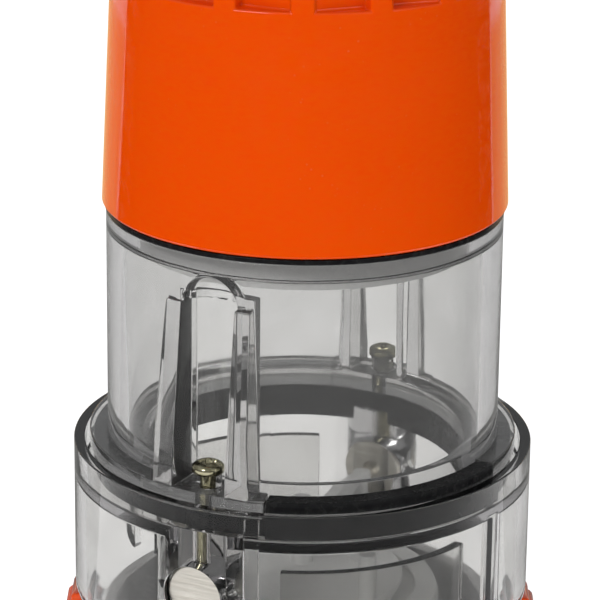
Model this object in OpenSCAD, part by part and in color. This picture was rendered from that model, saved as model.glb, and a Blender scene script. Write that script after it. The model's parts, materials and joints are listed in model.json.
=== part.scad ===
// Submersible sump pump: an orange twist-off motor cap on a clear suction chamber,
// a clear intake housing below it, and a latched strainer base on rubber feet.
// Millimetres, +Z up. The origin is on the pump's axis, at the floor.
// Azimuth 0 faces -Y and grows towards +X.

/* [Clear chamber] */
// Outer radius of the clear chamber
chamber_r = 50; // [49:0.5:51]
// Wall of the clear chamber
chamber_wall = 5; // [4:0.5:5.5]
// Height of the chamber from the screw seats to its shoulder
chamber_h = 55; // [50:1:60]
// Height of the thick ring at the chamber's top
top_ring_h = 5.6; // [4:0.2:7]
// Height of the thick ring at the chamber's foot
foot_ring_h = 6; // [5.5:0.1:8]
// Height of the slope on top of the foot ring
foot_slope_h = 1.2; // [0.6:0.1:3]
// How far the foot ring stands inside the bore
ring_step = 3.7; // [2:0.1:4]
// Height of the neck that the cap turns on
neck_h = 9; // [8.5:0.5:11]

/* [Screw channels] */
// Azimuth of the front screw; the other is opposite
screw_azimuth = -27.3; // [-30:0.1:-25]
// Distance from the chamber's outer wall in to a screw's axis
screw_inset = 0; // [0:0.1:0.5]
// Radius of the channel round each screw
channel_r = 7.5; // [7:0.1:7.6]
// Wall of each channel
channel_wall = 2; // [1.6:0.1:2.4]
// Height of a channel's straight sides
channel_h = 42.4; // [38:0.2:43]
// Width of the gusset rib on each side of a channel, at its foot
rib_w = 6.3; // [5:0.1:6.5]
// Width of a gusset rib at its top
rib_top_w = 4.3; // [3.5:0.1:5]
// How far a gusset rib rises past the channel's straight sides
rib_rise = 1.8; // [1:0.2:2.4]
// Fall of a gusset rib's sloping top
rib_slope = 1.5; // [0.5:0.1:2]
// How far a gusset rib stands out of the chamber at its top
rib_top_out = 0.6; // [0.4:0.1:2]
// Radius of a screw's seat
seat_r = 3.4; // [3:0.1:3.8]
// Height of a screw's seat
seat_h = 3.5; // [2.5:0.5:4]

/* [Flange and gasket] */
// Thickness of the chamber's flange
flange_t = 4.3; // [3.5:0.1:5]
// How far the flange's top stands above the housing's rim
flange_rise = 2.6; // [1.6:0.1:3]
// Azimuth at which the cut-away that bares the gasket starts
window_start = -9.6; // [-12:0.1:-8]
// Azimuth at which the cut-away that bares the gasket ends
window_end = 60; // [55:0.5:64]
// Azimuth at which a screw's ear starts
ear_start = -45; // [-48:0.5:-43]
// Thickness of the gasket's base ring
gasket_t = 5.3; // [4.5:0.1:6]
// How far the gasket's inner lip hangs below its base ring
lip_drop = 3.5; // [2:0.1:4.5]
// Radial width of the gasket's inner lip
lip_w = 3; // [2:0.1:3.5]
// Radial width of the gasket's base ring
gasket_w = 12.1; // [11:0.1:12.5]
// Height of the ledge that carries the gasket
ledge_t = 3; // [2:0.5:4]

/* [Intake housing] */
// How far the housing stands out past the chamber
housing_step = 8.7; // [8.5:0.1:9.5]
// Wall of the intake housing
housing_wall = 2.8; // [2.4:0.1:3]
// Height of the intake housing
housing_h = 48.9; // [47:0.1:53]
// Outer radius of the housing's lower corner
corner_r = 10; // [9:0.5:12]
// Thickness of the housing's floor
floor_t = 3; // [2.5:0.5:3.5]
// Height of the two curved baffles above the floor
baffle_h = 27.6; // [20:0.2:30]
// Radius of the boss round each cross nut
boss_r = 9.7; // [9.4:0.1:10]
// Width of the upright ribs inside the wall
post_w = 3.4; // [2.5:0.1:4]

/* [Cross screws] */
// Shank radius of a flange screw
screw_shank_r = 2; // [1.5:0.5:2]
// Head radius of a flange screw
screw_head_r = 4; // [3.8:0.1:4.2]
// Head height of a flange screw
screw_head_h = 3.4; // [2.6:0.1:3.6]
// Length of a flange screw under its head
screw_len = 40; // [36:1:44]
// Radius of a cross nut
nut_r = 7.7; // [7:0.1:8]
// Length of a cross nut
nut_len = 14.6; // [13.5:0.1:15]
// Depth of a cross nut's axis below the screw's seat
nut_drop = 30; // [28:0.5:32]

/* [Foot valve] */
// Clearance between the valve seat and the cross nuts' bosses
valve_seat_gap = 4.3; // [3.5:0.1:5]
// Radial width of the valve seat
valve_seat_w = 14; // [12:0.5:15]
// How far the poppet laps over the valve seat
poppet_lap = 4.5; // [3:0.5:5]
// How far the valve seat laps over the housing's floor
floor_lap = 6; // [5:0.5:8]
// Radius of the poppet's stem
stem_r = 3; // [2.5:0.5:4]
// Lift of the poppet
poppet_lift = 9; // [6:0.5:10]

/* [Strainer base] */
// Height of the strainer
strainer_h = 34; // [32:1:38]
// How far the strainer stands inside the housing's outer wall
strainer_inset = 6.2; // [5.5:0.1:7]
// Wall of the strainer
strainer_wall = 2.6; // [2:0.1:3]
// Number of slots in the strainer's wall
slot_count = 36; // [24:4:36]
// Width of a slot
slot_w = 3.6; // [2.5:0.1:4]
// Height of a rubber foot
foot_h = 4; // [3:0.5:6]
// Radius of a rubber foot
foot_r = 7; // [5:0.5:7.5]

/* [Latches] */
// Width of a latch
latch_w = 12; // [11:0.5:16]
// Thickness of a latch's plate
latch_t = 2.5; // [2:0.1:3]
// How far a latch's pivot stands out of the housing's outer wall
latch_out = 1.3; // [1:0.1:2]
// Height of a latch's pivot below the housing's floor
latch_pivot_drop = 11; // [10:0.5:13]
// Radius of a latch's pin
latch_pin_r = 1.5; // [1:0.25:1.75]

/* [Motor cap] */
// How far the cap overhangs the chamber
cap_overhang = 1; // [0.8:0.1:1.4]
// Height of the cap's plain skirt
skirt_h = 59.4; // [58:0.2:62]
// How much the skirt narrows to its top, on the radius
skirt_draft = 2.5; // [2:0.1:2.6]
// Height of the grip's pockets
grip_h = 28; // [24:1:30]
// Number of ribs round the grip
grip_count = 16; // [12:4:16]
// Width of a grip rib
grip_rib_w = 5.8; // [4.5:0.1:6.5]
// Greatest depth of the pockets between the grip ribs
grip_depth = 3.7; // [3:0.1:4]
// Height of the cap's crown above the grip
crown_h = 6; // [6:0.5:8]
// Angle through which the cap turns from locked to free
cap_turn = 45; // [30:5:50]
// Thickness of the seal between cap and chamber
seal_t = 1.3; // [1:0.1:2]

/* [Motor] */
// Outer radius of the sealed motor can
can_r = 34; // [33:0.5:35]
// Wall of the motor can
can_wall = 2; // [1.5:0.5:2.5]
// Height of the motor can
can_h = 48; // [46:0.5:50]
// Radius of the motor's shaft
shaft_r = 4; // [3:0.5:4.5]
// Outer radius of each ball bearing
bearing_r = 11; // [10:0.5:12]
// Width of each ball bearing
bearing_h = 7; // [5:0.5:7]
// Radius of the rotor
rotor_r = 17.6; // [16:0.1:18]
// Height of the stator's and rotor's steel
stack_h = 16; // [14:0.5:17]

/* [Impeller] */
// Radius of the impeller
impeller_r = 32; // [30:0.5:33]
// Height of the impeller
impeller_h = 10; // [8:0.5:10]
// Radius of the impeller's eye
eye_r = 12; // [10:0.5:13]
// Number of vanes
vane_count = 6; // [5:1:8]

/* [Discharge] */
// Distance of the discharge behind the pump's axis
spout_y = 18; // [17:0.5:20]
// Radius of the discharge's pipe thread
spout_r = 13.2; // [12:0.2:13.5]
// Bore radius of the discharge
spout_bore_r = 9.5; // [8:0.5:10]
// Radius of the hose tail
tail_r = 9.5; // [8.5:0.5:10]
// Length of the hose tail
tail_len = 17; // [14:1:18]

/* [Cable gland] */
// Distance of the gland in front of the pump's axis
gland_y = 24; // [22:0.5:25]
// Radius of the gland's thread
gland_r = 8; // [7:0.5:8]
// Radius of the grommet's hole for the cable
cable_r = 4.2; // [3:0.2:4.6]

/* [Handle] */
// Half of the distance between the handle's legs
handle_half = 42; // [40:0.5:43]
// Distance from the handle's pivot to its bar
handle_reach = 64; // [62:1:70]
// Radius of the handle's rod
rod_r = 2.5; // [2:0.25:3]
// Radius of the handle's grip
grip_r = 6.5; // [5:0.5:7]

/* [Clearances] */
// Gap between pieces that move past each other
gap = 0.3; // [0.25:0.05:0.4]
// Radial clearance of a running fit
fit = 0.05; // [0.02:0.01:0.08]
// Radial clearance of a seated piece
seat_fit = 0.1; // [0.05:0.05:0.15]

/* [Hidden] */
$fn = 96;
half_turn = 180;

// Overrun of every cut past the face that it opens
over = 1;
// Play that a piece pressed or screwed into place keeps
press_fit = 0.02;
cap_colour = "orangered";
clear_colour = [0.86, 0.87, 0.9, 0.35];

// Heights of the stack, from the floor up
housing_z = foot_h + strainer_h;
housing_floor = housing_z + floor_t;
rim_z = housing_z + housing_h;
flange_top = rim_z + flange_rise;
flange_z = flange_top - flange_t;
gasket_z = flange_z - gasket_t;
seat_z = flange_top + seat_h;
shoulder_z = seat_z + chamber_h;
neck_top = shoulder_z + neck_h;
cap_z = shoulder_z + seal_t + gap;
ledge_z = cap_z + skirt_h;
grip_top = ledge_z + grip_h;
roof_z = grip_top + crown_h;

// Radii of the shell
bore_r = chamber_r - chamber_wall;
foot_ring_r = bore_r - ring_step;
screw_r = chamber_r - screw_inset;
housing_r = chamber_r + housing_step;
housing_bore = housing_r - housing_wall;
ear_r = housing_bore - gap;
flange_r = ear_r - 1;
neck_r = chamber_r - 3.4;
neck_bore = neck_r - 5;
cap_r = chamber_r + cap_overhang;
cap_top_r = cap_r - skirt_draft;
grip_top_r = cap_top_r - 0.9;
cap_bore = neck_r + 0.4;
cap_inner = cap_top_r - 2.5;
core_sides = grip_count / 2;
core_r = (cap_top_r - grip_depth) / cos(180 / core_sides);
gasket_out = ear_r - 2;
gasket_in = gasket_out - gasket_w;
valve_seat_r = screw_r - boss_r - valve_seat_gap;
valve_bore_r = valve_seat_r - valve_seat_w;
poppet_r = valve_bore_r + poppet_lap;
inlet_r = valve_seat_r - floor_lap;
strainer_r = housing_r - strainer_inset;
latch_pivot_x = housing_r + latch_out;

// The stack inside the cap
roof_t = 5;
roof_under = roof_z - roof_t;
suction_z = neck_top + 0.6;
suction_t = 3;
impeller_z = suction_z + suction_t + 1.4;
diffuser_z = impeller_z + impeller_h + 2;
diffuser_t = 4;
can_z = diffuser_z + diffuser_t;
can_top = can_z + can_h;
can_floor = 3;
stack_rise = 19.5;
stack_z = can_z + stack_rise;
winding_h = 6.6;
cover_t = 3;
cover_top = can_top + cover_t;
insert_r = cap_inner - 0.2;
diffuser_vanes = 8;
seal_r = 9;
can_screw_r = 1.5;

// The bayonet between neck and cap
lug_angle = 18;
lug_out = 1.3;
lug_z = shoulder_z + 3.2;
lug_h = 3.8;
groove_r = neck_r + lug_out + gap;

// The handle's pivot
pivot_z = roof_z + 5.5;
lug_w = 5;
lug_x = handle_half - rod_r - gap - lug_w;

module turned(azimuth) {
    rotate([0, 0, azimuth]) children();
}

module both_sides(azimuth) {
    for (turn = [0, half_turn])
        turned(azimuth + turn) children();
}

module tube(r_out, r_in, h) {
    difference() {
        cylinder(r = r_out, h = h);
        translate([0, 0, -over]) cylinder(r = r_in, h = h + 2 * over);
    }
}

// A ring sector between two azimuths
module sector(r_in, r_out, h, from, to) {
    rotate([0, 0, from - 90])
        rotate_extrude(angle = to - from)
            translate([r_in, 0])
                square([r_out - r_in, h]);
}

// A plate seen from the side: points are [distance in front of the axis, height]
module side_plate(points, w) {
    translate([-w / 2, 0, 0])
        rotate([90, 0, 90])
            linear_extrude(w)
                polygon([for (p = points) [-p[0], p[1]]]);
}

module hexagon(across, h) {
    cylinder(d = across / cos(30), h = h, $fn = 6);
}

// Rubber feet, each with a stud that plugs into the foot cross: four outside, one central
module foot_places() {
    children();
    for (k = [0:3])
        turned(45 + 90 * k)
            translate([0, -(strainer_r - strainer_wall - foot_r - 1), 0])
                children();
}

module rubber_feet() {
    edge = 1.2;
    color("dimgray")
        foot_places() {
            cylinder(r1 = foot_r - edge, r2 = foot_r, h = edge);
            translate([0, 0, edge]) cylinder(r = foot_r, h = foot_h - edge);
            cylinder(r = foot_stud_r, h = foot_h + foot_stud_h);
        }
}

// Strainer: a slotted wall with the latches' ears, a foot cross below it and a top ring above it
foot_stud_r = 3;
foot_stud_h = 5;
cross_t = 3;
cross_w = 15;
slot_edge = 6;
strainer_top = 2.6;
strainer_bore = strainer_r - strainer_wall;
screen_r = inlet_r + 6;
screen_t = 1.2;
screen_drop = 0.5;
ear_t = 3;
ear_top = 6;
pivot_height = housing_z - latch_pivot_drop;

// Ears that carry one latch's pin, on the right-hand side
module latch_ears() {
    for (side = [-1, 1])
        translate([0, side * (latch_w / 2 + gap + ear_t / 2), 0])
            rotate([90, 0, 0])
                translate([0, 0, -ear_t / 2]) {
                    translate([latch_pivot_x, pivot_height, 0]) cylinder(r = 4, h = ear_t);
                    translate([strainer_r - 4, pivot_height - 4, 0])
                        cube([latch_pivot_x - strainer_r + 4, 8, ear_t]);
                    translate([strainer_r - 4, pivot_height - ear_top - 4, 0])
                        cube([6, 2 * ear_top + 2, ear_t]);
                }
}

module strainer_base() {
    wall_h = strainer_h - strainer_top - seat_fit;
    slot_h = wall_h - 2 * slot_edge;
    color("lightgray")
        difference() {
            union() {
                translate([0, 0, foot_h]) tube(strainer_r, strainer_bore, wall_h);
                for (turn = [0, 180])
                    rotate([0, 0, turn])
                        difference() {
                            latch_ears();
                            cylinder(r = strainer_bore + 1, h = housing_z);
                        }
            }
            for (k = [0:slot_count - 1])
                if (abs(abs(k * 360 / slot_count - 180) - 90) > 14)
                    turned(k * 360 / slot_count)
                        translate([-slot_w / 2, -strainer_r - over, foot_h + slot_edge])
                            cube([slot_w, strainer_wall + 2 * over, slot_h]);
            latch_pin_places()
                cylinder(r = latch_pin_r + fit, h = 4 * latch_w, center = true);
        }
}

// Four arms under the strainer carry the feet
module foot_cross() {
    reach = strainer_bore - seat_fit;
    color("lightgray")
        difference() {
            intersection() {
                translate([0, 0, foot_h])
                    for (turn = [45, 135])
                        turned(turn)
                            translate([-cross_w / 2, -strainer_r, 0])
                                cube([cross_w, 2 * strainer_r, cross_t]);
                cylinder(r = reach, h = housing_z);
            }
            foot_places()
                cylinder(r = foot_stud_r + fit, h = housing_z);
        }
}

module strainer_ring() {
    color("lightgray")
        translate([0, 0, housing_z - strainer_top])
            difference() {
                tube(strainer_r, inlet_r + 1, strainer_top);
                translate([0, 0, strainer_top - screen_t - screen_drop])
                    cylinder(r = screen_r + seat_fit, h = screen_t + screen_drop + over);
            }
}

// Perforated disc that keeps grit out of the valve
module debris_screen() {
    hole_r = 2.2;
    pitch = 6.4;
    color("silver")
        translate([0, 0, housing_z - screen_t - screen_drop])
            difference() {
                cylinder(r = screen_r, h = screen_t);
                for (ring = [0:4])
                    for (k = [0:max(6 * ring - 1, 0)])
                        rotate([0, 0, k * 60 / max(ring, 1)])
                            translate([ring * pitch, 0, -over])
                                cylinder(r = hole_r, h = screen_t + 2 * over, $fn = 24);
            }
}

module latch_pin_places() {
    for (side = [-1, 1])
        translate([side * latch_pivot_x, 0, pivot_height])
            rotate([90, 0, 0])
                children();
}

module latch_pins() {
    reach = latch_w / 2 + gap + ear_t + 0.8;
    color("silver")
        latch_pin_places() {
            cylinder(r = latch_pin_r, h = 2 * reach, center = true);
            for (end = [-1, 1])
                translate([0, 0, end * (reach - 0.3)])
                    cylinder(r = latch_pin_r + 0.8, h = 0.6, center = true);
        }
}

// Latch: a plate on a barrel, with a hook that holds the housing's catch down
catch_top = housing_z + 3;
hook_t = 2;
hook_reach = 2.6;
hook_in = housing_r - hook_reach;

module latch() {
    plate_in = latch_pivot_x - latch_t - 0.2;
    hook_z = catch_top + gap;
    plate_top = hook_z + hook_t;
    color(cap_colour)
        difference() {
            union() {
                translate([0, 0, pivot_height])
                    translate([latch_pivot_x, 0, 0])
                        rotate([90, 0, 0])
                            cylinder(r = 4, h = latch_w, center = true);
                translate([plate_in, -latch_w / 2, pivot_height])
                    cube([latch_t, latch_w, plate_top - pivot_height - 1.2]);
                translate([plate_in, 0, plate_top - 1.2])
                    rotate([90, 0, 0])
                        difference() {
                            translate([1.2, 0, 0]) cylinder(r = 1.2, h = latch_w, center = true);
                            translate([-5, -5, -latch_w]) cube([6.2, 5, 2 * latch_w]);
                        }
                translate([hook_in, -latch_w / 2, hook_z])
                    cube([plate_in + 1.2 - hook_in, latch_w, hook_t]);
                translate([plate_in, -latch_w / 2, hook_z])
                    cube([latch_t, latch_w, hook_t - 1.2]);
                translate([plate_in + latch_t - 0.5, 0, hook_z - 2.5])
                    rotate([90, 0, 0])
                        cylinder(r = 2, h = latch_w, center = true);
            }
            translate([latch_pivot_x, 0, pivot_height])
                rotate([90, 0, 0])
                    cylinder(r = latch_pin_r + fit, h = latch_w + 2 * over, center = true);
        }
}

module left_latch() {
    rotate([0, 0, 180]) latch();
}

module right_latch() {
    latch();
}

// Intake housing: a clear cup with a rounded lower corner
ledge_lap = 3;
nut_behind = 8;

module cup(r, corner, h) {
    translate([0, 0, corner]) cylinder(r = r, h = h - corner);
    cylinder(r = r - corner, h = corner + over);
    translate([0, 0, corner])
        rotate_extrude()
            translate([r - corner, 0])
                circle(r = corner);
}

module screw_axes() {
    both_sides(screw_azimuth)
        translate([0, -screw_r, 0])
            children();
}

module cross_nut_places() {
    both_sides(screw_azimuth)
        translate([0, 0, seat_z - nut_drop])
            rotate([90, 0, 0])
                children();
}

module intake_housing() {
    ledge_in = chamber_r - ledge_lap;
    catch_w = latch_w - 4;
    nut_in = screw_r - nut_behind - 0.2;
    color(clear_colour)
        difference() {
            union() {
                difference() {
                    translate([0, 0, housing_z]) cup(housing_r, corner_r, housing_h);
                    translate([0, 0, housing_floor])
                        cup(housing_bore, corner_r - housing_wall, housing_h);
                }
                intersection() {
                    translate([0, 0, housing_z]) cup(housing_r, corner_r, housing_h);
                    union() {
                        screw_axes()
                            translate([0, 0, housing_floor - over])
                                cylinder(r = boss_r, h = gasket_z - housing_floor + over);
                        translate([0, 0, gasket_z - ledge_t])
                            tube(housing_r - 0.5, ledge_in, ledge_t);
                        both_sides(window_start - 2.9)
                            translate([-post_w / 2, -housing_r + 0.5, housing_floor - over])
                                cube([post_w, housing_r - 0.5 - gasket_out - gap,
                                      flange_z - gap - housing_floor + over]);
                        both_sides(window_end - 2.4)
                            translate([-post_w / 2, -housing_r + 0.5, housing_floor - over])
                                cube([post_w, 5, gasket_z - housing_floor - ledge_t / 2 + over]);
                        both_sides(0)
                            translate([0, 0, housing_floor - over])
                                sector(chamber_r - 3.5, chamber_r - 1, baffle_h + over,
                                       window_start + 3.6, window_end - 5);
                    }
                }
                for (side = [-1, 1])
                    translate([side * (housing_r - 5.5) - 4, -catch_w / 2, housing_z + 0.4])
                        cube([8, catch_w, catch_top - housing_z - 0.4]);
            }
            translate([0, 0, housing_z - over]) cylinder(r = inlet_r, h = floor_t + 2 * over);
            for (side = [-1, 1])
                translate([side * (hook_in - gap + 5) - 5, -latch_w / 2 - 2 * gap, catch_top])
                    cube([10, latch_w + 4 * gap, hook_t + 1.4]);
            screw_axes()
                translate([0, 0, seat_z - screw_len - 2])
                    cylinder(r = screw_shank_r + 0.25, h = screw_len);
            cross_nut_places()
                translate([0, 0, nut_in])
                    cylinder(r = nut_r + seat_fit, h = housing_r);
        }
}

module barrel_nuts() {
    nut_in = screw_r - nut_behind;
    color("silver")
        difference() {
            cross_nut_places()
                translate([0, 0, nut_in]) {
                    cylinder(r = nut_r, h = nut_len - 0.4);
                    cylinder(r = nut_r - 0.4, h = nut_len);
                }
            screw_axes()
                cylinder(r = screw_shank_r + press_fit, h = rim_z);
            cross_nut_places()
                translate([0, 0, nut_in - over])
                    cylinder(r = 2, h = 3 + over);
        }
}

// Foot valve: seat, guide and poppet
seat_base_h = 4;
seat_rise = 2;
seat_lip = 3;
guide_base_h = 1.5;
guide_rise = 21;
guide_hub_h = 6;
guide_ring_w = 6;
guide_post_r = 2.2;
poppet_t = 2;
stem_over = 2;
poppet_z = housing_floor + seat_base_h + seat_rise + gap;
guide_z = housing_floor + seat_base_h;
guide_hub_z = housing_floor + guide_rise;
arm_h = 3;
arm_z = guide_hub_z + 0.5;

module valve_seat() {
    color("whitesmoke")
        translate([0, 0, housing_floor]) {
            tube(valve_seat_r, valve_bore_r, seat_base_h);
            tube(valve_bore_r + seat_lip, valve_bore_r, seat_base_h + seat_rise);
        }
}

// Three posts on a base ring carry the arms of the hub that guides the poppet's stem
module valve_guide() {
    post_at = valve_seat_r - guide_ring_w / 2;
    arm_w = 3;
    color("whitesmoke")
        difference() {
            union() {
                translate([0, 0, guide_z])
                    tube(valve_seat_r - 0.5, valve_seat_r - guide_ring_w, guide_base_h);
                for (k = [0:2])
                    turned(k * 120 + 30) {
                        translate([0, -post_at, guide_z])
                            cylinder(r = guide_post_r, h = arm_z + arm_h - guide_z);
                        translate([-arm_w / 2, -post_at, arm_z]) cube([arm_w, post_at, arm_h]);
                    }
                translate([0, 0, guide_hub_z]) cylinder(r = stem_r + 4, h = guide_hub_h);
            }
            translate([0, 0, guide_hub_z - over])
                cylinder(r = stem_r + fit, h = guide_hub_h + 2 * over);
        }
}

module valve_poppet() {
    color("white")
        translate([0, 0, poppet_z]) {
            cylinder(r = poppet_r, h = poppet_t);
            translate([0, 0, poppet_t])
                cylinder(r1 = poppet_r - poppet_t, r2 = stem_r + 3, h = poppet_t);
            cylinder(r = stem_r, h = guide_hub_z + guide_hub_h + stem_over - poppet_z);
        }
}

// Gasket: a base ring with eyelets and a hanging lip, raised where the chamber's flange is cut away
module flange_gasket() {
    raised = flange_top - 0.1 - gasket_z;
    color("black")
        translate([0, 0, gasket_z])
            difference() {
                union() {
                    tube(gasket_out, gasket_in, gasket_t);
                    sector(chamber_r + gap, ear_r - 0.2, raised, window_start + 0.5, window_end - 0.5);
                    sector(gasket_out - 1, ear_r - 0.2, gasket_t - 0.1,
                           window_start + 0.5, window_end - 0.5);
                    difference() {
                        translate([0, 0, -lip_drop])
                            tube(gasket_in + lip_w, gasket_in, gasket_t + lip_drop - 0.1);
                        screw_axes()
                            translate([0, 0, -lip_drop - over])
                                cylinder(r = boss_r + gap, h = lip_drop + over);
                    }
                    screw_axes() cylinder(r = screw_shank_r + 3, h = gasket_t);
                }
                screw_axes()
                    translate([0, 0, -over])
                        cylinder(r = screw_shank_r + 0.3, h = gasket_t + 2 * over);
            }
}

// Pan-head cross-recess screws
module flange_screws() {
    edge = 1;
    color("silver")
        screw_axes()
            translate([0, 0, seat_z]) {
                translate([0, 0, -screw_len]) cylinder(r = screw_shank_r, h = screw_len + 0.5);
                difference() {
                    union() {
                        cylinder(r = screw_head_r, h = screw_head_h - edge);
                        translate([0, 0, screw_head_h - edge])
                            cylinder(r1 = screw_head_r, r2 = screw_head_r - edge, h = edge);
                    }
                    for (turn = [0, 90])
                        rotate([0, 0, turn])
                            translate([-2.3, -0.45, screw_head_h - 1.5])
                                cube([4.6, 0.9, 1.5 + over]);
                }
            }
}

// Clear chamber: tube, thick rings, neck, flange, gussets and screw channels
spring_z = seat_z + channel_h;
channel_half = channel_r - 0.3;
mouth_len = 20;
rib_root = 0.5;

// A gusset rib leans in to its sloping top and narrows away from the channel
module gusset(side) {
    top = spring_z + rib_rise;
    out = channel_half + rib_w;
    intersection() {
        translate([side * (channel_half - rib_root + out) / 2, 0, 0])
            side_plate([[bore_r + 0.5, flange_z], [ear_r, flange_z], [ear_r, flange_top],
                        [chamber_r + rib_top_out, top - rib_slope], [bore_r + 0.5, top]],
                       rib_w + rib_root);
        rotate([90, 0, 0])
            linear_extrude(housing_r)
                polygon([[0, flange_z - over], [side * out, flange_z - over],
                         [side * (channel_half + rib_top_w), top + over], [0, top + over]]);
    }
}

module channel_shell() {
    reach = channel_r + channel_wall;
    translate([-reach, -screw_r, flange_z])
        cube([2 * reach, reach, spring_z + channel_wall - flange_z]);
    translate([0, -screw_r, spring_z])
        sphere(r = reach);
}

// Flat sides and a flat back, under a dome that is a little wider than the sides
module channel_hollow() {
    translate([-channel_half, -screw_r - mouth_len, flange_top])
        cube([2 * channel_half, mouth_len + channel_half, spring_z - flange_top]);
    translate([0, -screw_r, spring_z]) {
        intersection() {
            sphere(r = channel_r);
            translate([-channel_r - over, -channel_r - over, 0])
                cube([2 * channel_r + 2 * over, 2 * channel_r + 2 * over, channel_r + over]);
        }
        rotate([90, 0, 0]) cylinder(r = channel_half, h = mouth_len);
    }
}

// The flange is cut away where it bares the gasket, and stands out further at both screws' ears
module flange() {
    cut_h = flange_t + 2 * over;
    difference() {
        tube(ear_r, bore_r + 1, flange_t);
        translate([0, 0, -over]) {
            sector(bore_r, ear_r + over, cut_h, window_start, window_end);
            sector(flange_r, ear_r + over, cut_h, window_end - 0.5, ear_start + half_turn);
            sector(flange_r, ear_r + over, cut_h, window_start + half_turn, ear_start + 2 * half_turn);
        }
    }
}

module clear_chamber() {
    color(clear_colour)
        difference() {
            union() {
                difference() {
                    union() {
                        translate([0, 0, flange_z]) cylinder(r = chamber_r, h = shoulder_z - flange_z);
                        translate([0, 0, shoulder_z - over]) cylinder(r = neck_r, h = neck_h + over);
                    }
                    translate([0, 0, flange_z - over])
                        cylinder(r = foot_ring_r, h = foot_ring_h + over);
                    translate([0, 0, flange_z + foot_ring_h - foot_slope_h])
                        cylinder(r1 = foot_ring_r, r2 = bore_r, h = foot_slope_h);
                    translate([0, 0, flange_z + foot_ring_h])
                        cylinder(r = bore_r, h = shoulder_z - top_ring_h - flange_z - foot_ring_h);
                    translate([0, 0, shoulder_z - top_ring_h - over])
                        cylinder(r = neck_bore, h = top_ring_h + neck_h + 2 * over);
                }
                translate([0, 0, flange_z]) flange();
                intersection() {
                    translate([0, 0, flange_z]) cylinder(r = ear_r, h = shoulder_z - flange_z);
                    both_sides(screw_azimuth) {
                        gusset(-1);
                        gusset(1);
                    }
                }
                intersection() {
                    translate([0, 0, flange_z]) cylinder(r = chamber_r - 0.5, h = shoulder_z - flange_z);
                    both_sides(screw_azimuth) channel_shell();
                }
                for (k = [0:2])
                    translate([0, 0, lug_z])
                        sector(neck_r - 1, neck_r + lug_out, lug_h, k * 120 - lug_angle / 2,
                               k * 120 + lug_angle / 2);
            }
            both_sides(screw_azimuth)
                difference() {
                    channel_hollow();
                    translate([0, -screw_r, flange_z]) cylinder(r = seat_r, h = seat_z - flange_z);
                }
            screw_axes()
                translate([0, 0, flange_z - over])
                    cylinder(r = screw_shank_r + 0.25, h = seat_z - flange_z + 2 * over);
        }
}

module cap_seal() {
    color("black")
        translate([0, 0, shoulder_z])
            tube(chamber_r + 0.2, neck_r + seat_fit, seal_t);
}

// Motor cap: plain skirt, ribbed grip round a core with flat sides, crown, and the bayonet inside
grip_wall = 4.3;
rib_turn = 3.5;

module cap_outside() {
    edge = 0.8;
    crown = crown_h - 1;
    rotate_extrude()
        polygon(concat(
            [[0, cap_z], [cap_r - edge, cap_z], [cap_r - edge / 4, cap_z + edge / 4],
             [cap_r, cap_z + edge], [cap_top_r, ledge_z], [grip_top_r, grip_top + 1]],
            [for (a = [15:15:90]) [grip_top_r - crown + crown * cos(a), grip_top + 1 + crown * sin(a)]],
            [[0, roof_z]]));
}

module motor_cap() {
    pocket_angle = 360 / grip_count - 2 * asin(grip_rib_w / 2 / cap_top_r);
    inner_top = cap_top_r - grip_depth - grip_wall;
    color(cap_colour)
        difference() {
            union() {
                cap_outside();
                for (side = [-1, 1])
                    translate([side * (lug_x + lug_w / 2), 0, pivot_z])
                        rotate([0, 90, 0]) {
                            cylinder(r = 5.5, h = lug_w, center = true);
                            translate([0, -5.5, -lug_w / 2]) cube([6.5, 11, lug_w]);
                        }
                for (side = [-1, 1], back = [-1, 1])
                    translate([side * (handle_half - 2.5), back * 13, (roof_z + pivot_z - rod_r) / 2 - 1])
                        cube([5, 5, pivot_z - rod_r - 0.2 - roof_z + 2], center = true);
            }
            translate([0, 0, cap_z - over]) cylinder(r = cap_bore, h = neck_top + 0.3 - cap_z + over);
            translate([0, 0, cap_z]) cylinder(r = cap_inner, h = ledge_z - 2 - cap_z);
            translate([0, 0, cap_z]) cylinder(r = inner_top, h = roof_under - cap_z);
            translate([0, 0, ledge_z])
                turned(screw_azimuth + rib_turn)
                    difference() {
                        for (k = [0:grip_count - 1])
                            sector(inner_top + 1, cap_r + over, grip_h,
                                   (k + 0.5) * 360 / grip_count - pocket_angle / 2,
                                   (k + 0.5) * 360 / grip_count + pocket_angle / 2);
                        turned(180 / core_sides - 90)
                            translate([0, 0, -over])
                                cylinder(r = core_r, h = grip_h + 2 * over, $fn = core_sides);
                    }
            for (k = [0:2]) {
                translate([0, 0, lug_z - gap])
                    sector(neck_r - 1, groove_r, lug_h + 2 * gap, k * 120 - lug_angle / 2 - cap_turn - 1,
                           k * 120 + lug_angle / 2 + 1);
                translate([0, 0, cap_z - over])
                    sector(neck_r - 1, groove_r, lug_z + lug_h - cap_z + over,
                           k * 120 - lug_angle / 2 - cap_turn - 1, k * 120 + lug_angle / 2 - cap_turn + 1);
            }
            translate([0, spout_y, roof_under - over])
                cylinder(r = spout_bore_r + spout_wall + seat_fit, h = roof_t + 2 * over);
            translate([0, -gland_y, roof_under - over])
                cylinder(r = gland_r + seat_fit, h = roof_t + 2 * over);
            translate([0, 0, pivot_z])
                rotate([0, 90, 0])
                    cylinder(r = rod_r + fit, h = 4 * handle_half, center = true);
        }
}

// Plate that closes the impeller's lower side
module suction_plate() {
    color("lightgray")
        translate([0, 0, suction_z])
            tube(insert_r, eye_r + 1, suction_t);
}

// Sleeve under the suction plate, inside the chamber's neck
module suction_sleeve() {
    sleeve_t = 2;
    sleeve_z = shoulder_z - top_ring_h - 2.9;
    color("lightgray")
        translate([0, 0, sleeve_z])
            tube(neck_bore - gap, neck_bore - gap - sleeve_t, suction_z - sleeve_z);
}

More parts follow.
